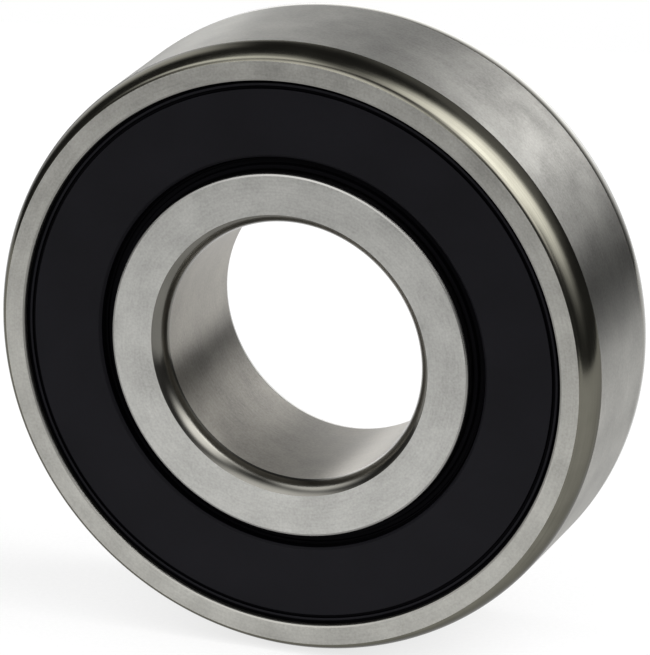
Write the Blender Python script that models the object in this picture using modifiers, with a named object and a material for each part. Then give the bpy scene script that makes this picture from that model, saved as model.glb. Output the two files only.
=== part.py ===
"""Deep-groove ball bearing, 20 x 47 x 14 mm, with a rubber contact seal on each side.

Every piece is modelled about a local +Z bearing axis, +Z being the front. The empty bearing_axis turns that
axis onto world -Y, so the bearing stands on its rim with its front face towards -Y, centred on the origin.
"""

import math

import bmesh
import bpy
from mathutils import Matrix

MM = 0.001

# Boundary dimensions
BORE_RADIUS = 10.0 * MM
OUTER_RADIUS = 23.5 * MM
HALF_WIDTH = 7.0 * MM

# Turned corners, left between the ground faces: radial depth, axial length and the arc's own radius
OUTER_CORNER = (0.90 * MM, 2.40 * MM, 4.0 * MM)
BORE_CORNER = (0.90 * MM, 1.35 * MM, 1.8 * MM)
EDGE_BREAK = 0.15 * MM

# Rolling elements and raceways
BALL_COUNT = 8
BALL_RADIUS = 3.969 * MM
PITCH_RADIUS = 16.75 * MM
RUNNING_GAP = 0.06 * MM
RACEWAY_RADIUS = 4.128 * MM
INNER_SHOULDER = 14.05 * MM
OUTER_SHOULDER = 19.40 * MM

# Seat of a seal in the outer ring: the mouth at the face, then the wider groove that its bead snaps into
MOUTH_RADIUS = 21.08 * MM
MOUTH_DEPTH = 0.50 * MM
SNAP_GROOVE_RADIUS = 21.45 * MM
SEAT_DEPTH = 1.80 * MM

# Rubber seal, with depths measured inwards from the bearing's face
SEAL_GAP = 0.08 * MM
BEAD_RADIUS = 21.35 * MM
BEAD_DEPTHS = (0.62 * MM, 1.62 * MM)
RIM_DEPTH = 0.36 * MM
RIM_GROOVE = (20.42 * MM, 20.66 * MM, 0.60 * MM)
RIM_CHAMFER = 0.10 * MM
MEMBRANE_DEPTHS = (0.50 * MM, 0.36 * MM)
MEMBRANE_INNER_RADIUS = 15.32 * MM
MEMBRANE_SHOULDER = 0.20 * MM
LIP_GROOVE = (14.52 * MM, 15.02 * MM, 1.20 * MM)
LIP_TOP_DEPTH = 0.95 * MM
LIP_BOTTOM_DEPTH = 1.62 * MM
LIP_CHAMFER = 0.12 * MM
GROOVE_DRAFT = 0.05 * MM

# Steel insert on the inner side of the rubber: a disc with a turned-up flange at its rim
INSERT_INNER_RADIUS = 15.30 * MM
INSERT_OUTER_RADIUS = 20.60 * MM
INSERT_THICKNESS = 0.40 * MM
INSERT_DEPTH = 1.20 * MM
FLANGE_DEPTH = 0.80 * MM
BOND_GAP = 0.05 * MM

# Pressed ribbon cage, each half folded over the balls
CAGE_THICKNESS = 0.70 * MM
CAGE_HALF_BAND = 1.65 * MM
CAGE_POCKET_GAP = 0.20 * MM
CAGE_BEND_RADIUS = 1.00 * MM
CAGE_PARTING_GAP = 0.04 * MM
RIVET_SHANK_RADIUS = 0.60 * MM
RIVET_HOLE_RADIUS = 0.66 * MM
RIVET_HEAD_RADIUS = 1.05 * MM
RIVET_HEAD_HEIGHT = 0.45 * MM
RIVET_HEAD_DOME = (0.62, 0.78)  # where the dome bends, as shares of the head's radius and height
RIVET_HEAD_EDGE = 0.25
RIVET_HEAD_GAP = 0.04 * MM

# Facets
RING_STEPS = 60
SEAL_STEPS = 44
RIVET_STEPS = 8
BALL_STEPS = (16, 10)
RACEWAY_STEPS = 4
OUTER_CORNER_STEPS = 4
BORE_CORNER_STEPS = 3
CAGE_BEND_STEPS = 2
CAGE_CROWN_STEPS = 5

SHARP_ANGLE = math.radians(30)
BALL_STEP_ANGLE = 2 * math.pi / BALL_COUNT

STEEL = (0.56, 0.55, 0.53, 1.0)
POLISHED_STEEL = (0.72, 0.72, 0.72, 1.0)
PRESSED_STEEL = (0.45, 0.44, 0.42, 1.0)
BLACK_RUBBER = (0.012, 0.012, 0.014, 1.0)


def clear_scene():
    for obj in list(bpy.data.objects):
        bpy.data.objects.remove(obj)


def new_collection(name):
    group = bpy.data.collections.new(name)
    bpy.context.scene.collection.children.link(group)
    return group


def new_material(name, colour, roughness, metallic):
    material = bpy.data.materials.new(name)
    material.use_nodes = True
    shader = material.node_tree.nodes["Principled BSDF"]
    shader.inputs["Base Color"].default_value = colour
    shader.inputs["Roughness"].default_value = roughness
    shader.inputs["Metallic"].default_value = metallic
    material.diffuse_color = colour
    return material


def new_empty(name, group, parent=None, tilt=0.0):
    empty = bpy.data.objects.new(name, None)
    empty.rotation_euler.x = tilt
    empty.empty_display_size = OUTER_RADIUS
    empty.parent = parent
    group.objects.link(empty)
    return empty


def new_piece(name, mesh, group, material, parent):
    piece = bpy.data.objects.new(name, mesh)
    piece.parent = parent
    group.objects.link(piece)
    if not mesh.materials:
        mesh.materials.append(material)
    return piece


def bake_modifiers(piece):
    """Replaces the piece's mesh by its modifiers' result, smooth but for its real edges."""
    graph = bpy.context.evaluated_depsgraph_get()
    baked = bpy.data.meshes.new_from_object(piece.evaluated_get(graph))
    baked.name = piece.name
    baked.shade_smooth()
    baked.set_sharp_from_angle(angle=SHARP_ANGLE)
    piece.modifiers.clear()
    piece.data = baked


def turned_piece(name, outline, closed, steps, group, material, parent):
    """Turns an outline of (radius, height) points about Z: up its inner side, down its outer side."""
    count = len(outline)
    edges = [(i, (i + 1) % count) for i in range(count if closed else count - 1)]
    mesh = bpy.data.meshes.new(name)
    mesh.from_pydata([(radius, 0.0, height) for radius, height in outline], edges, [])
    piece = new_piece(name, mesh, group, material, parent)
    screw = piece.modifiers.new("turn", "SCREW")
    screw.axis = "Z"
    screw.angle = 2 * math.pi
    screw.steps = steps
    screw.render_steps = steps
    screw.use_merge_vertices = True
    screw.merge_threshold = 0.001 * MM
    bake_modifiers(piece)
    return piece


def arc(centre, radius, start, end, steps):
    """Points on a circle in the outline's plane, from one angle to another, both included."""
    angles = [start + (end - start) * i / steps for i in range(steps + 1)]
    return [(centre[0] + radius * math.cos(a), centre[1] + radius * math.sin(a)) for a in angles]


def arc_through(first, last, radius, steps):
    """Arc of the given radius between two points, bulging to the left of the way from first to last."""
    half = math.dist(first, last) / 2
    along = ((last[0] - first[0]) / (2 * half), (last[1] - first[1]) / (2 * half))
    drop = math.sqrt(radius**2 - half**2)
    centre = (
        (first[0] + last[0]) / 2 + drop * along[1],
        (first[1] + last[1]) / 2 - drop * along[0],
    )
    middle = math.atan2(along[0], -along[1])
    spread = math.asin(half / radius)
    return arc(centre, radius, middle + spread, middle - spread, steps)


def mirrored(half_outline):
    """Adds the rear half of a symmetric outline. The first point lies on the plane of symmetry."""
    return half_outline + [(radius, -height) for radius, height in reversed(half_outline[1:])]


def raceway(bottom_radius, shoulder_radius, towards_axis):
    """Front half of a ball groove, from its bottom to its shoulder."""
    side = 1 if towards_axis else -1
    centre_radius = bottom_radius + side * RACEWAY_RADIUS
    reach = math.acos(side * (centre_radius - shoulder_radius) / RACEWAY_RADIUS)
    start = math.pi if towards_axis else 0.0
    return arc((centre_radius, 0.0), RACEWAY_RADIUS, start, start - side * reach, RACEWAY_STEPS)


def outer_ring_outline():
    radial, axial, corner_radius = OUTER_CORNER
    groove_bottom = PITCH_RADIUS + BALL_RADIUS + RUNNING_GAP
    seat_height = HALF_WIDTH - SEAT_DEPTH
    lip_height = HALF_WIDTH - MOUTH_DEPTH
    face_end = (OUTER_RADIUS - radial, HALF_WIDTH)
    rim_start = (OUTER_RADIUS, HALF_WIDTH - axial)
    half = raceway(groove_bottom, OUTER_SHOULDER, towards_axis=False)
    half += [
        (OUTER_SHOULDER, seat_height),
        (SNAP_GROOVE_RADIUS, seat_height),
        (SNAP_GROOVE_RADIUS, lip_height),
        (MOUTH_RADIUS, lip_height),
        (MOUTH_RADIUS, HALF_WIDTH),
    ]
    half += arc_through(face_end, rim_start, corner_radius, OUTER_CORNER_STEPS)
    return mirrored(half)


def inner_ring_outline():
    radial, axial, corner_radius = BORE_CORNER
    groove_bottom = PITCH_RADIUS - BALL_RADIUS - RUNNING_GAP
    bore_end = (BORE_RADIUS, HALF_WIDTH - axial)
    face_start = (BORE_RADIUS + radial, HALF_WIDTH)
    front = arc_through(bore_end, face_start, corner_radius, BORE_CORNER_STEPS)
    front += [
        (INNER_SHOULDER - EDGE_BREAK, HALF_WIDTH),
        (INNER_SHOULDER, HALF_WIDTH - EDGE_BREAK),
    ]
    groove = raceway(groove_bottom, INNER_SHOULDER, towards_axis=True)
    rear = [(radius, -height) for radius, height in reversed(front)]
    return front + groove[:0:-1] + [(radius, -height) for radius, height in groove] + rear


def seal_rubber_outline():
    """Front seal, clockwise from its lip: groove, membrane, rim groove, rim, bead, insert's pocket."""
    def height(depth):
        return HALF_WIDTH - depth

    bead_top, bead_bottom = BEAD_DEPTHS
    groove_in, groove_out, groove_depth = RIM_GROOVE
    lip_in, lip_out, lip_floor = LIP_GROOVE
    inner_depth, outer_depth = MEMBRANE_DEPTHS
    mouth = MOUTH_RADIUS - SEAL_GAP
    lip_radius = INNER_SHOULDER + SEAL_GAP
    pocket_top = INSERT_DEPTH - BOND_GAP
    flange_in = INSERT_OUTER_RADIUS - INSERT_THICKNESS - BOND_GAP
    return [
        (lip_radius, height(LIP_TOP_DEPTH + LIP_CHAMFER)),
        (lip_radius + LIP_CHAMFER, height(LIP_TOP_DEPTH)),
        (lip_in - 2 * GROOVE_DRAFT, height(LIP_TOP_DEPTH)),
        (lip_in, height(lip_floor)),
        (lip_out, height(lip_floor)),
        (lip_out + GROOVE_DRAFT, height(inner_depth + MEMBRANE_SHOULDER)),
        (MEMBRANE_INNER_RADIUS, height(inner_depth)),
        (groove_in, height(outer_depth)),
        (groove_in + GROOVE_DRAFT, height(groove_depth)),
        (groove_out - GROOVE_DRAFT, height(groove_depth)),
        (groove_out, height(RIM_DEPTH)),
        (mouth - RIM_CHAMFER, height(RIM_DEPTH)),
        (mouth, height(RIM_DEPTH + RIM_CHAMFER)),
        (mouth, height(bead_top)),
        (BEAD_RADIUS, height(bead_top)),
        (BEAD_RADIUS, height(bead_bottom)),
        (INSERT_OUTER_RADIUS + BOND_GAP, height(bead_bottom)),
        (INSERT_OUTER_RADIUS + BOND_GAP, height(FLANGE_DEPTH - BOND_GAP)),
        (flange_in, height(FLANGE_DEPTH - BOND_GAP)),
        (flange_in, height(pocket_top)),
        (INSERT_INNER_RADIUS - BOND_GAP, height(pocket_top)),
        (INSERT_INNER_RADIUS - BOND_GAP, height(LIP_BOTTOM_DEPTH)),
        (lip_radius, height(LIP_BOTTOM_DEPTH)),
    ]


def seal_insert_outline():
    disc_top = HALF_WIDTH - INSERT_DEPTH
    disc_bottom = disc_top - INSERT_THICKNESS
    flange_top = HALF_WIDTH - FLANGE_DEPTH
    flange_in = INSERT_OUTER_RADIUS - INSERT_THICKNESS
    return [
        (INSERT_INNER_RADIUS, disc_bottom),
        (INSERT_INNER_RADIUS, disc_top),
        (flange_in, disc_top),
        (flange_in, flange_top),
        (INSERT_OUTER_RADIUS, flange_top),
        (INSERT_OUTER_RADIUS, disc_bottom),
    ]


def rivet_outline():
    seat = CAGE_PARTING_GAP / 2 + CAGE_THICKNESS + RIVET_HEAD_GAP
    dome_radius, dome_height = RIVET_HEAD_DOME
    head = [
        (0.0, seat + RIVET_HEAD_HEIGHT),
        (dome_radius * RIVET_HEAD_RADIUS, seat + dome_height * RIVET_HEAD_HEIGHT),
        (RIVET_HEAD_RADIUS, seat + RIVET_HEAD_EDGE * RIVET_HEAD_HEIGHT),
        (RIVET_HEAD_RADIUS, seat),
        (RIVET_SHANK_RADIUS, seat),
    ]
    return head + [(radius, -height) for radius, height in reversed(head)]


def pocket_section(slice_radius):
    """Ball side of the ribbon across half a pocket, as (distance from the ball's centre, height).

    It leaves the flat land, turns up round the bend and follows the ball to the crown.
    """
    reach = slice_radius + CAGE_BEND_RADIUS
    land_edge = math.sqrt(reach**2 - CAGE_BEND_RADIUS**2)
    rise = math.asin(CAGE_BEND_RADIUS / reach)
    bend = arc(
        (land_edge, CAGE_BEND_RADIUS), CAGE_BEND_RADIUS, 1.5 * math.pi, math.pi + rise, CAGE_BEND_STEPS
    )
    crown = arc((0.0, 0.0), slice_radius, rise, math.pi / 2, CAGE_CROWN_STEPS)
    return bend + crown[1:]


def cage_row(offset):
    """Points of the ribbon's ball side all the way round, at one radial offset from the pitch circle."""
    pocket_radius = BALL_RADIUS + CAGE_POCKET_GAP
    half = pocket_section(math.sqrt(pocket_radius**2 - offset**2))
    section = [(-distance, height) for distance, height in half]
    section += [(distance, height) for distance, height in reversed(half[:-1])]
    radius = PITCH_RADIUS + offset
    mean_radius = math.sqrt(PITCH_RADIUS * radius)
    row = []
    for ball in range(BALL_COUNT):
        for distance, height in section:
            angle = ball * BALL_STEP_ANGLE + 2 * math.asin(distance / (2 * mean_radius))
            lift = height + CAGE_PARTING_GAP / 2
            row.append((radius * math.cos(angle), radius * math.sin(angle), lift))
    return row


def rivet_angle(index):
    return (index + 0.5) * BALL_STEP_ANGLE


def rivet_hole_cutter(cutters, parent):
    shape = bmesh.new()
    for index in range(BALL_COUNT):
        place = Matrix.Rotation(rivet_angle(index), 4, "Z") @ Matrix.Translation((PITCH_RADIUS, 0.0, 0.0))
        bmesh.ops.create_cone(
            shape,
            cap_ends=True,
            segments=RIVET_STEPS,
            radius1=RIVET_HOLE_RADIUS,
            radius2=RIVET_HOLE_RADIUS,
            depth=4 * CAGE_THICKNESS,
            matrix=place,
        )
    mesh = bpy.data.meshes.new("rivet_hole_cutter")
    shape.to_mesh(mesh)
    shape.free()
    cutter = bpy.data.objects.new("rivet_hole_cutter", mesh)
    cutter.parent = parent
    cutter.hide_render = True
    cutter.display_type = "WIRE"
    cutters.objects.link(cutter)
    return cutter


def cage_half(name, cutter, group, material, parent):
    """Pressed ribbon: the sheet's ball side is lofted round the pitch circle, then thickened outwards."""
    rows = [cage_row(offset) for offset in (-CAGE_HALF_BAND, 0.0, CAGE_HALF_BAND)]
    count = len(rows[0])
    points = [point for row in rows for point in row]
    faces = []
    for row in range(len(rows) - 1):
        for column in range(count):
            after = (column + 1) % count
            inner = row * count
            outer = inner + count
            faces.append((inner + column, outer + column, outer + after, inner + after))
    mesh = bpy.data.meshes.new(name)
    mesh.from_pydata(points, [], faces)
    piece = new_piece(name, mesh, group, material, parent)
    sheet = piece.modifiers.new("sheet", "SOLIDIFY")
    sheet.thickness = CAGE_THICKNESS
    sheet.offset = 1.0
    sheet.use_even_offset = True
    holes = piece.modifiers.new("rivet_holes", "BOOLEAN")
    holes.operation = "DIFFERENCE"
    holes.solver = "EXACT"
    holes.object = cutter
    bake_modifiers(piece)
    return piece


def ball_mesh():
    shape = bmesh.new()
    around, along = BALL_STEPS
    bmesh.ops.create_uvsphere(shape, u_segments=around, v_segments=along, radius=BALL_RADIUS)
    mesh = bpy.data.meshes.new("ball")
    shape.to_mesh(mesh)
    shape.free()
    mesh.shade_smooth()
    return mesh


def rear_copy(name, front, group, material, parent):
    """The same piece on the rear side, turned over about a diameter."""
    piece = new_piece(name, front.data, group, material, parent)
    piece.rotation_euler.x = math.pi
    return piece


def place_on_pitch_circle(piece, angle):
    piece.location = (PITCH_RADIUS * math.cos(angle), PITCH_RADIUS * math.sin(angle), 0.0)
    piece.rotation_euler.z = angle


def build_rings(group, axis):
    steel = new_material("ring_steel", STEEL, 0.32, 1.0)
    turned_piece("outer_ring", outer_ring_outline(), True, RING_STEPS, group, steel, axis)
    turned_piece("inner_ring", inner_ring_outline(), True, RING_STEPS, group, steel, axis)


def build_seals(group, axis):
    rubber = new_material("seal_rubber", BLACK_RUBBER, 0.55, 0.0)
    steel = new_material("insert_steel", PRESSED_STEEL, 0.40, 1.0)
    front = turned_piece(
        "seal_rubber_front", seal_rubber_outline(), True, SEAL_STEPS, group, rubber, axis
    )
    rear_copy("seal_rubber_rear", front, group, rubber, axis)
    insert = turned_piece(
        "seal_insert_front", seal_insert_outline(), True, SEAL_STEPS, group, steel, axis
    )
    rear_copy("seal_insert_rear", insert, group, steel, axis)


def build_balls(group, axis):
    steel = new_material("ball_steel", POLISHED_STEEL, 0.08, 1.0)
    mesh = ball_mesh()
    for index in range(BALL_COUNT):
        ball = new_piece(f"ball_{index + 1}", mesh, group, steel, axis)
        place_on_pitch_circle(ball, index * BALL_STEP_ANGLE)


def build_cage(group, cutters, axis):
    steel = new_material("cage_steel", PRESSED_STEEL, 0.38, 1.0)
    rivet_steel = new_material("rivet_steel", PRESSED_STEEL, 0.30, 1.0)
    cutter = rivet_hole_cutter(cutters, axis)
    front = cage_half("cage_half_front", cutter, group, steel, axis)
    rear_copy("cage_half_rear", front, group, steel, axis)
    first = turned_piece(
        "cage_rivet_1", rivet_outline(), False, RIVET_STEPS, group, rivet_steel, axis
    )
    place_on_pitch_circle(first, rivet_angle(0))
    for index in range(1, BALL_COUNT):
        rivet = new_piece(f"cage_rivet_{index + 1}", first.data, group, rivet_steel, axis)
        place_on_pitch_circle(rivet, rivet_angle(index))


def main():
    clear_scene()
    group = new_collection("ball_bearing")
    cutters = new_collection("cutters")
    bearing_axis = new_empty("bearing_axis", group, tilt=math.pi / 2)
    cage_axis = new_empty("cage_axis", group, parent=bearing_axis)
    build_rings(group, bearing_axis)
    build_seals(group, bearing_axis)
    build_balls(group, cage_axis)
    build_cage(group, cutters, cage_axis)


main()
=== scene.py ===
"""Looks of the sealed deep-groove ball bearing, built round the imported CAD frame.

The bearing's axis is Y with the front face towards -Y, and it stands on its rim. Each piece is rebuilt
here at fine resolution on the CAD's own sizes, replaces its CAD node and gets a procedural material.
Outlines are in millimetres, as (radius, distance from the middle plane, fillet radius), and the meshes
are in metres.
"""

import math

import bmesh
import bpy
from mathutils import Matrix, Vector


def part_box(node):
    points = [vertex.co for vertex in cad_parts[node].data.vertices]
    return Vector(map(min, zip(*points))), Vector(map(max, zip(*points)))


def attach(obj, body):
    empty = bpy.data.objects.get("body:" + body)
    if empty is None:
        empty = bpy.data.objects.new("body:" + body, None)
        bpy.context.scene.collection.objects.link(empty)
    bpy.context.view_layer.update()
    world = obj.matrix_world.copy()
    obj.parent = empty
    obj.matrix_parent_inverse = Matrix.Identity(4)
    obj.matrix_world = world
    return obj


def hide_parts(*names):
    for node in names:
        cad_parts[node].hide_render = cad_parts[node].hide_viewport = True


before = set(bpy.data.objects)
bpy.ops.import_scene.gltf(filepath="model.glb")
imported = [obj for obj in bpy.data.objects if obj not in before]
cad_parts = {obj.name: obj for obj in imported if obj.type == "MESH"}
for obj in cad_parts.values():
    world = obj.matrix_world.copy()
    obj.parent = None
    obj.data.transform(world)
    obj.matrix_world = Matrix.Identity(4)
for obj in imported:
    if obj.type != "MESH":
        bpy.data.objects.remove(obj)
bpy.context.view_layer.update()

MM = 0.001

# Sizes that the frame gives
OUTER_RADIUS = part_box("outer_ring")[1].x / MM
HALF_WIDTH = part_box("outer_ring")[1].y / MM
LAND_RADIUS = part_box("inner_ring")[1].x / MM
BALL_RADIUS = (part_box("ball_1")[1].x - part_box("ball_1")[0].x) / MM / 2
PITCH_RADIUS = (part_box("ball_1")[1].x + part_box("ball_1")[0].x) / MM / 2
BALL_COUNT = sum(name.startswith("ball_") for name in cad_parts)

# Rings. A corner is its width across the face, its depth along the axis and the radius of its arc.
BORE_RADIUS = 10.0
BORE_CORNER = (0.90, 1.35, 1.8)
OUTER_CORNER = (0.90, 2.40, 3.93)

# Arc that leads from the outer face into its corner: radius, then its tilt in degrees at both ends
OUTER_BLEND = (0.8, 28, 54)

# Worn edge: width and starting depth of its steep facet, then of its shallow one
EDGE_FACETS = ((0.05, 0.15), (0.13, 0.045))

CORNER_FILLET = 0.04
EDGE_FILLET = 0.02
RUNNING_GAP = 0.06
RACEWAY_RADIUS = 4.128
OUTER_SHOULDER = 19.40
MOUTH_RADIUS = 21.08
MOUTH_DEPTH = 0.50
SNAP_GROOVE_RADIUS = 21.45
SEAT_DEPTH = 1.80

# Seals
LIP_GAP = 0.02
RIM_RADIUS = 21.35
SEAL_DEPTH = 1.62
# Painted shade on the seals: the lip channel (inside LIP_ZONE_RADIUS, deeper than LIP_ZONE_DEPTH) and the
# rim groove (outside RIM_ZONE_RADIUS, deeper than RIM_ZONE_DEPTH) get a darker, duller rubber
LIP_ZONE_RADIUS = 15.16
LIP_ZONE_DEPTH = 0.60
RIM_ZONE_RADIUS = 20.40
RIM_ZONE_DEPTH = 0.42
INSERT_RADII = (15.30, 20.60)
INSERT_DEPTH = 1.20
INSERT_THICKNESS = 0.40

# Cage
CAGE_THICKNESS = 0.70
CAGE_HALF_BAND = 1.65
CAGE_POCKET_GAP = 0.20
CAGE_BEND_RADIUS = 1.00
CAGE_PARTING_GAP = 0.04
RIVET_HOLE_RADIUS = 0.66
RIVET_SHANK_RADIUS = 0.60
RIVET_HEAD_RADIUS = 1.05
RIVET_SEAT_GAP = 0.04
RIVET_DOME_RADIUS = 1.31
RIVET_DOME_DROP = 0.86
RIVET_RIM_HEIGHT = 0.12

# Facets
RING_STEPS = 360
BALL_STEPS = (64, 32)
RIVET_STEPS = 32
FILLET_STEPS = 5
RACEWAY_STEPS = 14
BLEND_STEPS = 8
OUTER_CORNER_STEPS = 20
BORE_CORNER_STEPS = 16
CAGE_BAND_STEPS = 3
CAGE_BEND_STEPS = 6
CAGE_CROWN_STEPS = 14
RIVET_DOME_STEPS = 8
FILLET_SHARE = 0.48
SHARP_ANGLE = math.radians(32)

# How flat a face is, and how far past a limit it may lie, when its material is chosen
FLAT_NORMAL = 0.99
KIND_MARGIN = 0.1

BALL_STEP_ANGLE = 2 * math.pi / BALL_COUNT
AXIS_TURN = Matrix.Rotation(math.pi / 2, 4, "X")
REAR_TURN = Matrix.Rotation(math.pi, 4, "X")


# ---------------------------------------------------------------- outlines

def arc(centre, radius, start, end, steps):
    """Points along an arc, both ends included."""
    angles = [start + (end - start) * i / steps for i in range(steps + 1)]
    return [(centre[0] + radius * math.cos(a), centre[1] + radius * math.sin(a)) for a in angles]


def arc_through(first, last, radius, steps):
    """Arc between two points, bulging to the left of the way from first to last."""
    half = math.dist(first, last) / 2
    along = ((last[0] - first[0]) / (2 * half), (last[1] - first[1]) / (2 * half))
    drop = math.sqrt(radius**2 - half**2)
    centre = (
        (first[0] + last[0]) / 2 + drop * along[1],
        (first[1] + last[1]) / 2 - drop * along[0],
    )
    middle = math.atan2(along[0], -along[1])
    spread = math.asin(half / radius)
    return arc(centre, radius, middle + spread, middle - spread, steps)


def filleted(outline):
    """Rounds each corner of a closed outline by its third value, where it has one.

    A fillet takes less than half of either side, so two of them never meet.
    """
    points = []
    count = len(outline)
    for index, entry in enumerate(outline):
        corner = Vector(entry[:2])
        radius = entry[2] if len(entry) > 2 else 0.0
        if radius == 0.0:
            points.append(tuple(corner))
            continue
        before = Vector(outline[index - 1][:2]) - corner
        after = Vector(outline[(index + 1) % count][:2]) - corner
        full_reach = radius / math.tan(before.angle(after) / 2)
        reach = min(full_reach, FILLET_SHARE * before.length, FILLET_SHARE * after.length)
        start = corner + before.normalized() * reach
        end = corner + after.normalized() * reach
        for step in range(FILLET_STEPS + 1):
            t = step / FILLET_STEPS
            point = start * (1 - t) ** 2 + corner * 2 * t * (1 - t) + end * t**2
            points.append(tuple(point))
    return points


def mirrored(half_outline):
    """Adds the rear half of a symmetric outline. The first point lies on the plane of symmetry."""
    rear = [(entry[0], -entry[1], *entry[2:]) for entry in reversed(half_outline[1:])]
    return half_outline + rear


def raceway(bottom_radius, shoulder_radius, side):
    """Front half of a ball groove, from its bottom to its shoulder.

    The side is 1 on the inner ring and -1 on the outer ring.
    """
    centre_radius = bottom_radius + side * RACEWAY_RADIUS
    reach = math.acos(side * (centre_radius - shoulder_radius) / RACEWAY_RADIUS)
    start = math.pi if side == 1 else 0.0
    return arc((centre_radius, 0.0), RACEWAY_RADIUS, start, start - side * reach, RACEWAY_STEPS)


def worn_edge(radius, side):
    """Edge between a wall at a radius and the face: a steep facet, then a shallow one.

    The side is 1 on the edge of a hole and -1 on an outer edge.
    """
    (steep_width, steep_depth), (shallow_width, shallow_depth) = EDGE_FACETS
    return [
        (radius, HALF_WIDTH - steep_depth, EDGE_FILLET),
        (radius + side * steep_width, HALF_WIDTH - shallow_depth, EDGE_FILLET),
        (radius + side * (steep_width + shallow_width), HALF_WIDTH, EDGE_FILLET),
    ]


def outer_ring_outline():
    """Ball groove, seal seat, snap groove, mouth, worn edge, face, blend and corner, then the rear half."""
    radial, axial, corner_radius = OUTER_CORNER
    seat_height = HALF_WIDTH - SEAT_DEPTH
    lip_height = HALF_WIDTH - MOUTH_DEPTH
    half = raceway(PITCH_RADIUS + BALL_RADIUS + RUNNING_GAP, OUTER_SHOULDER, -1)
    half += [
        (OUTER_SHOULDER, seat_height, 0.15),
        (SNAP_GROOVE_RADIUS, seat_height, 0.15),
        (SNAP_GROOVE_RADIUS, lip_height, 0.10),
        (MOUTH_RADIUS, lip_height, 0.05),
        *worn_edge(MOUTH_RADIUS, 1),
    ]
    blend_radius, *tilts = OUTER_BLEND
    start, end = (math.radians(90 - tilt) for tilt in tilts)
    blend = arc((0.0, 0.0), blend_radius, start, end, BLEND_STEPS)
    shift = (OUTER_RADIUS - radial - blend[0][0], HALF_WIDTH - blend[0][1])
    blend = [(radius + shift[0], height + shift[1]) for radius, height in blend]
    half += [(*blend[0], CORNER_FILLET), *blend[1:-1]]
    corner_end = (OUTER_RADIUS, HALF_WIDTH - axial)
    half += arc_through(blend[-1], corner_end, corner_radius, OUTER_CORNER_STEPS)
    return filleted(mirrored(half))


def inner_ring_outline():
    """Front corner, face and worn edge, then the ball groove, then the front half again for the rear."""
    radial, axial, corner_radius = BORE_CORNER
    corner_start = (BORE_RADIUS, HALF_WIDTH - axial)
    corner_end = (BORE_RADIUS + radial, HALF_WIDTH)
    corner = arc_through(corner_start, corner_end, corner_radius, BORE_CORNER_STEPS)
    front = corner[:-1] + [(*corner_end, CORNER_FILLET), *reversed(worn_edge(LAND_RADIUS, -1))]
    front_groove = raceway(PITCH_RADIUS - BALL_RADIUS - RUNNING_GAP, LAND_RADIUS, 1)
    rear_groove = [(radius, -height) for radius, height in front_groove]
    rear = [(entry[0], -entry[1], *entry[2:]) for entry in reversed(front)]
    return filleted(front + front_groove[:0:-1] + rear_groove + rear)


def seal_rubber_outline():
    """Front seal, from the lip's edge outwards over its face, then back along its underside.

    Over the face run the lip, its groove, a ridge, the membrane, the rim groove and the rim.
    """
    face = HALF_WIDTH
    underside = face - SEAL_DEPTH
    lip = LAND_RADIUS + LIP_GAP
    return filleted([
        (lip, face - 1.07, 0.05),
        (lip + 0.12, face - 0.93, 0.06),
        (14.45, face - 0.95, 0.06),
        (14.53, face - 1.32, 0.05),
        (14.79, face - 1.32, 0.05),
        (14.87, face - 1.12, 0.05),
        (14.95, face - 1.12, 0.05),
        (15.00, face - 1.24, 0.04),
        (15.07, face - 1.24, 0.04),
        (15.12, face - 0.70, 0.08),
        (15.34, face - 0.50, 0.14),
        (20.38, face - 0.36, 0.05),
        (20.43, face - 0.60, 0.03),
        (20.59, face - 0.60, 0.03),
        (20.65, face - 0.38, 0.06),
        (20.82, face - 0.38, 0.10),
        (20.90, face - 0.62, 0.03),
        (RIM_RADIUS, face - 0.62, 0.06),
        (RIM_RADIUS, underside, 0.15),
        (20.65, underside, 0.05),
        (20.65, face - 0.75, 0.03),
        (20.15, face - 0.75, 0.03),
        (20.15, face - 1.15, 0.03),
        (15.25, face - 1.15, 0.03),
        (15.25, underside, 0.05),
        (lip, underside, 0.20),
    ])


def seal_insert_outline():
    """Front insert: a flat disc with a flange that stands up at its rim."""
    inside, outside = INSERT_RADII
    flange = outside - INSERT_THICKNESS
    disc_top = HALF_WIDTH - INSERT_DEPTH
    disc_bottom = disc_top - INSERT_THICKNESS
    flange_top = disc_top + INSERT_THICKNESS
    return filleted([
        (inside, disc_bottom, 0.05),
        (inside, disc_top, 0.05),
        (flange, disc_top, 0.05),
        (flange, flange_top, 0.08),
        (outside, flange_top, 0.08),
        (outside, disc_bottom, 0.25),
    ])


def rivet_outline():
    seat = CAGE_PARTING_GAP / 2 + CAGE_THICKNESS + RIVET_SEAT_GAP
    rim_angle = math.asin((RIVET_DOME_DROP + RIVET_RIM_HEIGHT) / RIVET_DOME_RADIUS)
    centre = (0.0, seat - RIVET_DOME_DROP)
    dome = arc(centre, RIVET_DOME_RADIUS, math.pi / 2, rim_angle, RIVET_DOME_STEPS)
    head = dome + [(RIVET_HEAD_RADIUS, seat), (RIVET_SHANK_RADIUS, seat)]
    return head + [(radius, -height) for radius, height in reversed(head)]


# ---------------------------------------------------------------- meshes

def finish_mesh(mesh, turn):
    """Turns a mesh by a matrix and shades it smooth between its sharp edges."""
    mesh.transform(turn)
    mesh.shade_smooth()
    mesh.set_sharp_from_angle(angle=SHARP_ANGLE)
    return mesh


def baked(piece):
    """Mesh of a piece with its modifiers applied."""
    graph = bpy.context.evaluated_depsgraph_get()
    mesh = bpy.data.meshes.new_from_object(piece.evaluated_get(graph))
    piece.modifiers.clear()
    return mesh


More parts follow.
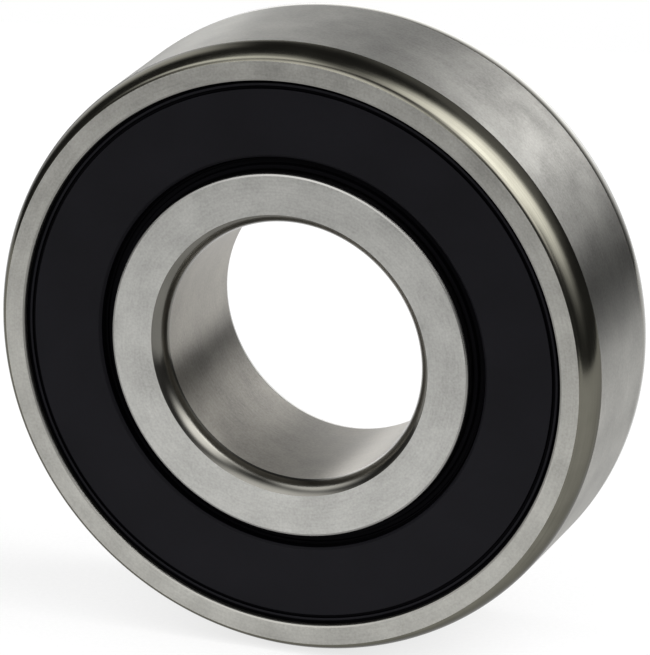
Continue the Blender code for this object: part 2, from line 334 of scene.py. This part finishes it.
def lathe(name, outline, closed=True, steps=RING_STEPS):
    """Turns an outline about Z and lays the result along the bearing's axis, front towards -Y."""
    count = len(outline)
    edges = [(i, (i + 1) % count) for i in range(count if closed else count - 1)]
    mesh = bpy.data.meshes.new(name)
    mesh.from_pydata([(radius * MM, 0.0, height * MM) for radius, height in outline], edges, [])
    piece = bpy.data.objects.new(name, mesh)
    bpy.context.scene.collection.objects.link(piece)
    screw = piece.modifiers.new("turn", "SCREW")
    screw.angle = 2 * math.pi
    screw.steps = steps
    screw.render_steps = steps
    screw.use_merge_vertices = True
    screw.merge_threshold = 0.001 * MM
    piece.data = finish_mesh(baked(piece), AXIS_TURN)
    return piece


def moved_copy(name, piece, turn):
    """Another piece of the same shape, moved by a matrix in the frame's axes."""
    mesh = piece.data.copy()
    mesh.transform(turn)
    copy = bpy.data.objects.new(name, mesh)
    bpy.context.scene.collection.objects.link(copy)
    return copy


def place_on_pitch_circle(angle):
    """From the bearing's centre to the pitch circle, at an angle from +X towards +Z."""
    return Matrix.Rotation(-angle, 4, "Y") @ Matrix.Translation((PITCH_RADIUS * MM, 0.0, 0.0))


def pocket_section(slice_radius):
    """Ball side of the ribbon across half a pocket: land, bend, then round the ball to the crown."""
    reach = slice_radius + CAGE_BEND_RADIUS
    land_edge = math.sqrt(reach**2 - CAGE_BEND_RADIUS**2)
    rise = math.asin(CAGE_BEND_RADIUS / reach)
    bend_centre = (land_edge, CAGE_BEND_RADIUS)
    bend = arc(bend_centre, CAGE_BEND_RADIUS, 1.5 * math.pi, math.pi + rise, CAGE_BEND_STEPS)
    crown = arc((0.0, 0.0), slice_radius, rise, math.pi / 2, CAGE_CROWN_STEPS)
    return bend + crown[1:]


def cage_row(offset):
    """Points round the ribbon, on the circle that lies an offset outside the pitch circle."""
    pocket_radius = BALL_RADIUS + CAGE_POCKET_GAP
    half = pocket_section(math.sqrt(pocket_radius**2 - offset**2))
    section = [(-distance, height) for distance, height in half]
    section += [(distance, height) for distance, height in reversed(half[:-1])]
    radius = PITCH_RADIUS + offset
    mean_radius = math.sqrt(PITCH_RADIUS * radius)
    row = []
    for ball in range(BALL_COUNT):
        for distance, height in section:
            angle = ball * BALL_STEP_ANGLE + 2 * math.asin(distance / (2 * mean_radius))
            lift = height + CAGE_PARTING_GAP / 2
            row.append((radius * math.cos(angle) * MM, radius * math.sin(angle) * MM, lift * MM))
    return row


def rivet_hole_cutter():
    """One cylinder through each land between two pockets."""
    shape = bmesh.new()
    for index in range(BALL_COUNT):
        angle = (index + 0.5) * BALL_STEP_ANGLE
        place = Matrix.Rotation(angle, 4, "Z") @ Matrix.Translation((PITCH_RADIUS * MM, 0.0, 0.0))
        bmesh.ops.create_cone(
            shape,
            cap_ends=True,
            segments=RIVET_STEPS,
            radius1=RIVET_HOLE_RADIUS * MM,
            radius2=RIVET_HOLE_RADIUS * MM,
            depth=4 * CAGE_THICKNESS * MM,
            matrix=place,
        )
    mesh = bpy.data.meshes.new("rivet_hole_cutter")
    shape.to_mesh(mesh)
    shape.free()
    cutter = bpy.data.objects.new("rivet_hole_cutter", mesh)
    bpy.context.scene.collection.objects.link(cutter)
    return cutter


def cage_ribbon(name):
    """One pressed half of the cage: a sheet thickened away from the balls and pierced for rivets."""
    steps = range(-CAGE_BAND_STEPS, CAGE_BAND_STEPS + 1)
    rows = [cage_row(CAGE_HALF_BAND * step / CAGE_BAND_STEPS) for step in steps]
    count = len(rows[0])
    points = [point for row in rows for point in row]
    faces = []
    for row in range(len(rows) - 1):
        for column in range(count):
            after = (column + 1) % count
            inner = row * count
            outer = inner + count
            faces.append((inner + column, outer + column, outer + after, inner + after))
    mesh = bpy.data.meshes.new(name)
    mesh.from_pydata(points, [], faces)
    piece = bpy.data.objects.new(name, mesh)
    bpy.context.scene.collection.objects.link(piece)
    sheet = piece.modifiers.new("sheet", "SOLIDIFY")
    sheet.thickness = CAGE_THICKNESS * MM
    sheet.offset = 1.0
    sheet.use_even_offset = True
    cutter = rivet_hole_cutter()
    holes = piece.modifiers.new("rivet_holes", "BOOLEAN")
    holes.operation = "DIFFERENCE"
    holes.solver = "EXACT"
    holes.object = cutter
    piece.data = finish_mesh(baked(piece), AXIS_TURN)
    bpy.data.objects.remove(cutter)
    return piece


def ball(name):
    shape = bmesh.new()
    around, along = BALL_STEPS
    bmesh.ops.create_uvsphere(shape, u_segments=around, v_segments=along, radius=BALL_RADIUS * MM)
    mesh = bpy.data.meshes.new(name)
    shape.to_mesh(mesh)
    shape.free()
    piece = bpy.data.objects.new(name, mesh)
    bpy.context.scene.collection.objects.link(piece)
    mesh.transform(AXIS_TURN)
    mesh.shade_smooth()
    return piece


def paint(piece, materials, kind_of):
    """Gives each face the material of its kind.

    The kind is told from its radius, its distance from the middle plane and its normal.
    """
    names = list(materials)
    piece.data.materials.clear()
    for name in names:
        piece.data.materials.append(materials[name])
    for face in piece.data.polygons:
        radius = math.hypot(face.center.x, face.center.z) / MM
        face.material_index = names.index(kind_of(radius, abs(face.center.y) / MM, face.normal))


# ---------------------------------------------------------------- materials

class NodeTree:
    """Short ways to add nodes to the tree of a material or of the world."""

    def __init__(self, owner):
        owner.use_nodes = True
        self.nodes = owner.node_tree.nodes
        self.links = owner.node_tree.links

    def add(self, kind, inputs=None, **settings):
        node = self.nodes.new(kind)
        for key, value in settings.items():
            setattr(node, key, value)
        for key, value in (inputs or {}).items():
            if isinstance(value, bpy.types.NodeSocket):
                self.links.new(value, node.inputs[key])
            else:
                node.inputs[key].default_value = value
        return node

    def math(self, operation, first, second=0.0):
        return self.add("ShaderNodeMath", {0: first, 1: second}, operation=operation).outputs[0]

    def vector_math(self, operation, first, second=(0.0, 0.0, 0.0)):
        return self.add("ShaderNodeVectorMath", {0: first, 1: second}, operation=operation).outputs


class Recipe(NodeTree):
    """A Principled material, with the textures and mixes that the recipes below share."""

    def __init__(self, name, roughness, metallic, specular=0.5):
        self.material = bpy.data.materials.new(name)
        super().__init__(self.material)
        self.shader = self.nodes["Principled BSDF"]
        self.shader.inputs["Metallic"].default_value = metallic
        self.shader.inputs["Roughness"].default_value = roughness
        self.shader.inputs["Specular IOR Level"].default_value = specular

    def lay(self, around, across):
        """Coordinates that stretch a texture round the bearing's axis.

        They have so many features per radian around it, and so many per metre across the lay.
        """
        position = self.add("ShaderNodeTexCoord").outputs["Object"]
        flat = self.vector_math("MULTIPLY", position, (1.0, 0.0, 1.0))["Vector"]
        radius = self.vector_math("LENGTH", flat)["Value"]
        outward = self.vector_math("NORMALIZE", flat)["Vector"]
        along = self.add("ShaderNodeSeparateXYZ", {0: position}).outputs["Y"]
        across_lay = self.math("MULTIPLY", self.math("ADD", radius, along), across)
        ring = self.vector_math("MULTIPLY", outward, (around, around, around))["Vector"]
        lift = self.add("ShaderNodeCombineXYZ", {"Y": across_lay}).outputs[0]
        return self.vector_math("ADD", ring, lift)["Vector"]

    def noise(self, vector, scale, detail):
        node = self.add("ShaderNodeTexNoise", {"Vector": vector, "Scale": scale, "Detail": detail})
        return node.outputs["Fac"]

    def grain(self, scale, detail):
        """Noise that is the same in all directions, with its scale in features per metre."""
        position = self.add("ShaderNodeTexCoord").outputs["Object"]
        return self.noise(position, scale, detail)

    def marks(self, around, across):
        """Noise drawn out into lines round the axis."""
        return self.noise(self.lay(around, across), scale=1.0, detail=2.0)

    def weighted(self, *terms):
        """Sum of textures, each times its weight."""
        total, *others = [self.math("MULTIPLY", texture, weight) for texture, weight in terms]
        for product in others:
            total = self.math("ADD", total, product)
        return total

    def spread(self, value, low, high):
        """Maps a noise value onto a range."""
        limits = {"From Min": 0.3, "From Max": 0.7, "To Min": low, "To Max": high}
        return self.add("ShaderNodeMapRange", {"Value": value, **limits}).outputs[0]

    def colour_between(self, factor, dark, light):
        ramp = self.add("ShaderNodeValToRGB", {"Fac": factor})
        for element, colour, position in zip(ramp.color_ramp.elements, (dark, light), (0.32, 0.68)):
            element.color = (*colour, 1.0)
            element.position = position
        return ramp.outputs["Color"]

    def use(self, socket, value):
        self.links.new(value, self.shader.inputs[socket])

    def bump(self, height, strength, distance):
        bump = self.add("ShaderNodeBump", {"Height": height, "Strength": strength, "Distance": distance})
        self.use("Normal", bump.outputs["Normal"])


def scaled(colour, factor):
    return tuple(channel * factor for channel in colour)


def steel_recipe(name, roughness, edge_tint):
    """Bare metal. An edge tint below 1 dims its reflections at glancing angles."""
    recipe = Recipe(name, roughness, metallic=1.0)
    recipe.shader.inputs["Specular Tint"].default_value = (edge_tint, edge_tint, edge_tint, 1.0)
    return recipe


def ground_steel(name, colour, roughness, variation, lay=0.0, edge_tint=1.0):
    """Ground bearing steel: a fine grain, faint grinding lines round the axis and slow cloudy stains.

    A lay above 0 spreads reflections along the axis, across the grinding lines.
    """
    recipe = steel_recipe(name, roughness, edge_tint)
    if lay:
        recipe.shader.inputs["Anisotropic"].default_value = lay
        recipe.shader.inputs["Anisotropic Rotation"].default_value = 0.25
        tangent = recipe.add("ShaderNodeTangent", direction_type="RADIAL", axis="Y")
        recipe.use("Tangent", tangent.outputs["Tangent"])
    fine = recipe.grain(scale=5600.0, detail=3.0)
    stains = recipe.grain(scale=330.0, detail=3.0)
    lines = recipe.marks(around=7.0, across=7000.0)
    mixed = recipe.weighted((fine, 0.38), (lines, 0.20), (stains, 0.42))
    dark, light = scaled(colour, 1 - variation), scaled(colour, 1 + variation)
    recipe.use("Base Color", recipe.colour_between(mixed, dark, light))
    recipe.use("Roughness", recipe.spread(mixed, roughness - 0.04, roughness + 0.05))
    recipe.bump(mixed, strength=0.25, distance=0.004 * MM)
    return recipe.material


def turned_steel(name, colour, roughness, edge_tint=1.0):
    """Turned corner: darker, glossier and more straw-coloured than the ground faces, with tool marks."""
    recipe = steel_recipe(name, roughness, edge_tint)
    marks = recipe.marks(around=3.0, across=5000.0)
    stains = recipe.grain(scale=420.0, detail=3.0)
    mixed = recipe.weighted((marks, 0.5), (stains, 0.5))
    dark, light = scaled(colour, 0.86), scaled(colour, 1.12)
    recipe.use("Base Color", recipe.colour_between(mixed, dark, light))
    recipe.use("Roughness", recipe.spread(mixed, roughness - 0.03, roughness + 0.05))
    recipe.bump(marks, strength=0.2, distance=0.003 * MM)
    return recipe.material


def polished_steel(name, colour, roughness):
    """Smooth steel with a faint haze."""
    recipe = Recipe(name, roughness, metallic=1.0)
    haze = recipe.grain(scale=700.0, detail=3.0)
    recipe.use("Base Color", recipe.colour_between(haze, scaled(colour, 0.95), colour))
    recipe.use("Roughness", recipe.spread(haze, roughness, roughness + 0.04))
    return recipe.material


def pressed_steel(name, colour, roughness):
    """Pressed or headed steel: satin, with stains and small pits."""
    recipe = Recipe(name, roughness, metallic=1.0)
    pits = recipe.grain(scale=5200.0, detail=2.0)
    stains = recipe.grain(scale=500.0, detail=3.0)
    mixed = recipe.weighted((pits, 0.5), (stains, 0.5))
    recipe.use("Base Color", recipe.colour_between(mixed, scaled(colour, 0.8), colour))
    recipe.use("Roughness", recipe.spread(mixed, roughness - 0.05, roughness + 0.08))
    recipe.bump(pits, strength=0.3, distance=0.006 * MM)
    return recipe.material


def seal_rubber(name, colour, specular):
    """Moulded nitrile rubber: near black, satin, with the mould's fine spark-eroded texture."""
    recipe = Recipe(name, roughness=0.5, metallic=0.0, specular=specular)
    texture = recipe.grain(scale=6500.0, detail=2.0)
    bloom = recipe.grain(scale=190.0, detail=2.0)
    mixed = recipe.weighted((texture, 0.5), (bloom, 0.5))
    dark, light = scaled(colour, 0.8), scaled(colour, 1.25)
    recipe.use("Base Color", recipe.colour_between(mixed, dark, light))
    recipe.use("Roughness", recipe.spread(texture, 0.46, 0.60))
    recipe.bump(texture, strength=0.3, distance=0.006 * MM)
    return recipe.material


# ---------------------------------------------------------------- pieces

def stand_in(piece, node, body):
    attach(piece, body)
    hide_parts(node)


def outer_ring_kind(radius, height, normal):
    depth = HALF_WIDTH - height
    if abs(normal.y) > FLAT_NORMAL and radius > MOUTH_RADIUS:
        return "face"
    if radius > SNAP_GROOVE_RADIUS + KIND_MARGIN and depth < OUTER_CORNER[1]:
        return "corner" if normal.y < 0 else "rear_corner"
    if radius > OUTER_RADIUS - KIND_MARGIN:
        return "round"
    return "seat" if depth < SEAT_DEPTH + KIND_MARGIN else "raceway"


def inner_ring_kind(radius, height, normal):
    depth = HALF_WIDTH - height
    if abs(normal.y) > FLAT_NORMAL and radius < LAND_RADIUS:
        return "face"
    if radius < BORE_RADIUS + BORE_CORNER[0] and depth < BORE_CORNER[1]:
        return "corner"
    if radius < BORE_RADIUS + KIND_MARGIN:
        return "round"
    return "edge" if depth < 2 * EDGE_FACETS[0][1] else "raceway"


def seal_kind(radius, height, _normal):
    depth = HALF_WIDTH - height
    in_lip = radius < LIP_ZONE_RADIUS and depth > LIP_ZONE_DEPTH
    in_rim = radius > RIM_ZONE_RADIUS and depth > RIM_ZONE_DEPTH
    # The lip channel and the rim groove take the darker, duller rubber that paints their shade.
    return "recess_painted_shade" if in_lip or in_rim else "face"


def build_rings():
    raceway_steel = polished_steel("raceway_steel", (0.60, 0.59, 0.57), roughness=0.12)
    corner_colour = (0.142, 0.137, 0.113)
    outer = lathe("outer_ring_fine", outer_ring_outline())
    outer_materials = {
        "face": ground_steel("outer_face_steel", (0.345, 0.34, 0.316), roughness=0.36, variation=0.22),
        # The front corner's edge tint halves its reflections at glancing angles: painted shade. The rear
        # corner is the same steel with full reflections.
        "corner": turned_steel("outer_corner_painted_shade_steel", corner_colour, roughness=0.15, edge_tint=0.5),
        "rear_corner": turned_steel("outer_rear_corner_steel", corner_colour, roughness=0.15),
        "round": ground_steel(
            "outer_round_steel", (0.34, 0.335, 0.315), roughness=0.32, variation=0.30,
            lay=0.95, edge_tint=0.85,
        ),
        "seat": polished_steel("seat_steel", (0.22, 0.216, 0.20), roughness=0.3),
        "raceway": raceway_steel,
    }
    paint(outer, outer_materials, outer_ring_kind)
    stand_in(outer, "outer_ring", "outer")
    inner = lathe("inner_ring_fine", inner_ring_outline())
    inner_materials = {
        "face": ground_steel("inner_face_steel", (0.378, 0.376, 0.358), roughness=0.38, variation=0.22),
        "corner": turned_steel("bore_corner_steel", (0.14, 0.136, 0.122), roughness=0.17),
        "round": ground_steel(
            "bore_steel", (0.352, 0.336, 0.306), roughness=0.34, variation=0.28, lay=0.85,
        ),
        "edge": polished_steel("land_steel", (0.24, 0.237, 0.226), roughness=0.26),
        "raceway": raceway_steel,
    }
    paint(inner, inner_materials, inner_ring_kind)
    stand_in(inner, "inner_ring", "inner")


def build_seals():
    rubber = {
        "face": seal_rubber("seal_rubber", (0.0044, 0.0042, 0.0057), specular=0.07),
        # Darker, less glossy copy of the seal rubber: painted shade in the lip channel and rim groove.
        "recess_painted_shade": seal_rubber("seal_recess_painted_shade_rubber", (0.0012, 0.0011, 0.0016), specular=0.02),
    }
    insert_steel = pressed_steel("insert_steel", (0.42, 0.41, 0.39), roughness=0.35)
    front = lathe("seal_rubber_front_fine", seal_rubber_outline())
    paint(front, rubber, seal_kind)
    rear = moved_copy("seal_rubber_rear_fine", front, REAR_TURN)
    insert_front = lathe("seal_insert_front_fine", seal_insert_outline())
    insert_front.data.materials.append(insert_steel)
    insert_rear = moved_copy("seal_insert_rear_fine", insert_front, REAR_TURN)
    stand_in(front, "seal_rubber_front", "outer")
    stand_in(rear, "seal_rubber_rear", "outer")
    stand_in(insert_front, "seal_insert_front", "outer")
    stand_in(insert_rear, "seal_insert_rear", "outer")


def build_balls():
    template = ball("ball_template")
    template.data.materials.append(polished_steel("ball_steel", (0.72, 0.72, 0.72), roughness=0.05))
    for index in range(BALL_COUNT):
        name = f"ball_{index + 1}"
        piece = moved_copy(name + "_fine", template, place_on_pitch_circle(index * BALL_STEP_ANGLE))
        stand_in(piece, name, name)
    bpy.data.objects.remove(template)


def build_cage():
    steel = pressed_steel("cage_steel", (0.48, 0.47, 0.45), roughness=0.32)
    front = cage_ribbon("cage_half_front_fine")
    front.data.materials.append(steel)
    rear = moved_copy("cage_half_rear_fine", front, REAR_TURN)
    stand_in(front, "cage_half_front", "cage")
    stand_in(rear, "cage_half_rear", "cage")
    template = lathe("rivet_template", rivet_outline(), closed=False, steps=RIVET_STEPS)
    template.data.materials.append(pressed_steel("rivet_steel", (0.55, 0.54, 0.52), roughness=0.25))
    for index in range(BALL_COUNT):
        place = place_on_pitch_circle((index + 0.5) * BALL_STEP_ANGLE)
        rivet = moved_copy(f"cage_rivet_{index + 1}_fine", template, place)
        stand_in(rivet, f"cage_rivet_{index + 1}", "cage")
    bpy.data.objects.remove(template)


# ---------------------------------------------------------------- studio

CAMERA_AZIMUTH = math.radians(21.24)
CAMERA_ELEVATION = math.radians(19.77)
CAMERA_DISTANCE = 0.5321
CAMERA_AIM = Vector((0.00036, -0.00051, 0.00014))
CAMERA_LENS = 394.4

# Sheet of paper under the bearing: its corners before it is turned, in metres, and what it gives off
SHEET = ((-0.20, -0.102), (0.11, 0.135))
SHEET_TURN = math.radians(12)
SHEET_GLOW = 0.74

# Radiance of the dim room, and soft patches of light in it. A patch is its azimuth from +Y towards +X, its
# elevation, half-width and half-height in degrees, and its radiance.
SURROUNDINGS = 0.06
SOFTBOXES = (
    (75, 49, 17, 34, 5.2),
    (115, 42, 20, 22, 4.6),
    (-98, 56, 15, 25, 2.9),
    (-42, 10, 9, 20, 2.0),
    (-10, 4, 25, 16, 2.4),
    (30, 32, 42, 17, 0.36),
    (-163, 7, 38, 12, 2.1),
    (-165, 35, 28, 26, 2.8),
)


def direction(azimuth, elevation):
    """Unit vector from the bearing's centre, azimuth 0 towards -Y and 90 degrees towards +X."""
    return Vector((
        math.sin(azimuth) * math.cos(elevation),
        -math.cos(azimuth) * math.cos(elevation),
        math.sin(elevation),
    ))


def build_camera():
    data = bpy.data.cameras.new("camera")
    data.lens = CAMERA_LENS
    data.sensor_width = 36.0
    data.clip_start = 0.01
    camera = bpy.data.objects.new("camera", data)
    bpy.context.scene.collection.objects.link(camera)
    outward = direction(CAMERA_AZIMUTH, CAMERA_ELEVATION)
    camera.location = CAMERA_AIM + outward * CAMERA_DISTANCE
    camera.rotation_euler = (-outward).to_track_quat("-Z", "Y").to_euler()
    bpy.context.scene.camera = camera


def build_floor():
    """A sheet of white paper, which ends outside the camera's view."""
    low, high = SHEET
    mesh = bpy.data.meshes.new("floor")
    shape = bmesh.new()
    bmesh.ops.create_grid(shape, x_segments=8, y_segments=8, size=0.5)
    shape.to_mesh(mesh)
    shape.free()
    floor = bpy.data.objects.new("floor", mesh)
    floor.scale = (high[0] - low[0], high[1] - low[1], 1.0)
    floor.location = ((low[0] + high[0]) / 2, (low[1] + high[1]) / 2, -OUTER_RADIUS * MM)
    floor.rotation_euler.z = SHEET_TURN
    bpy.context.scene.collection.objects.link(floor)
    recipe = Recipe("floor_paper", roughness=0.8, metallic=0.0, specular=0.1)
    shade = recipe.grain(scale=900.0, detail=2.0)
    recipe.use("Base Color", recipe.colour_between(shade, (0.19, 0.19, 0.19), (0.21, 0.21, 0.21)))
    recipe.shader.inputs["Emission Color"].default_value = (1.0, 1.0, 1.0, 1.0)
    recipe.shader.inputs["Emission Strength"].default_value = SHEET_GLOW
    floor.data.materials.append(recipe.material)


def softbox(tree, sight, azimuth, elevation, width, height, radiance):
    """Soft-edged elliptical patch of light, by the angles of its centre and its half-sizes."""
    azimuth, elevation = math.radians(azimuth), math.radians(elevation)
    centre = Vector((math.sin(azimuth), math.cos(azimuth), 0.0)) * math.cos(elevation)
    centre.z = math.sin(elevation)
    across = Vector((math.cos(azimuth), -math.sin(azimuth), 0.0))
    upward = across.cross(centre)
    squares = []
    for axis, half_size in ((across, width), (upward, height)):
        scaled_axis = axis / math.sin(math.radians(half_size))
        offset = tree.vector_math("DOT_PRODUCT", sight, scaled_axis)["Value"]
        squares.append(tree.math("MULTIPLY", offset, offset))
    reach = tree.math("ADD", *squares)
    fall_off = tree.math("MULTIPLY", tree.math("MULTIPLY", reach, reach), -1.0)
    patch = tree.math("EXPONENT", fall_off)
    ahead = tree.vector_math("DOT_PRODUCT", sight, centre)["Value"]
    front = tree.math("GREATER_THAN", ahead, 0.0)
    return tree.math("MULTIPLY", tree.math("MULTIPLY", patch, front), radiance)


def build_world():
    """Dim surroundings with a few soft patches of light. The camera itself sees plain white there."""
    world = bpy.data.worlds.new("studio")
    tree = NodeTree(world)
    sight = tree.add("ShaderNodeTexCoord").outputs["Generated"]
    light = SURROUNDINGS
    for patch in SOFTBOXES:
        light = tree.math("ADD", light, softbox(tree, sight, *patch))
    seen = tree.add("ShaderNodeLightPath").outputs["Is Camera Ray"]
    background = tree.nodes["Background"]
    tree.links.new(tree.math("MAXIMUM", light, seen), background.inputs["Strength"])
    background.inputs["Color"].default_value = (1.0, 1.0, 1.0, 1.0)
    bpy.context.scene.world = world


def build_studio():
    build_camera()
    build_floor()
    build_world()
    bpy.context.scene.view_settings.view_transform = "Standard"


build_rings()
build_seals()
build_balls()
build_cage()
build_studio()
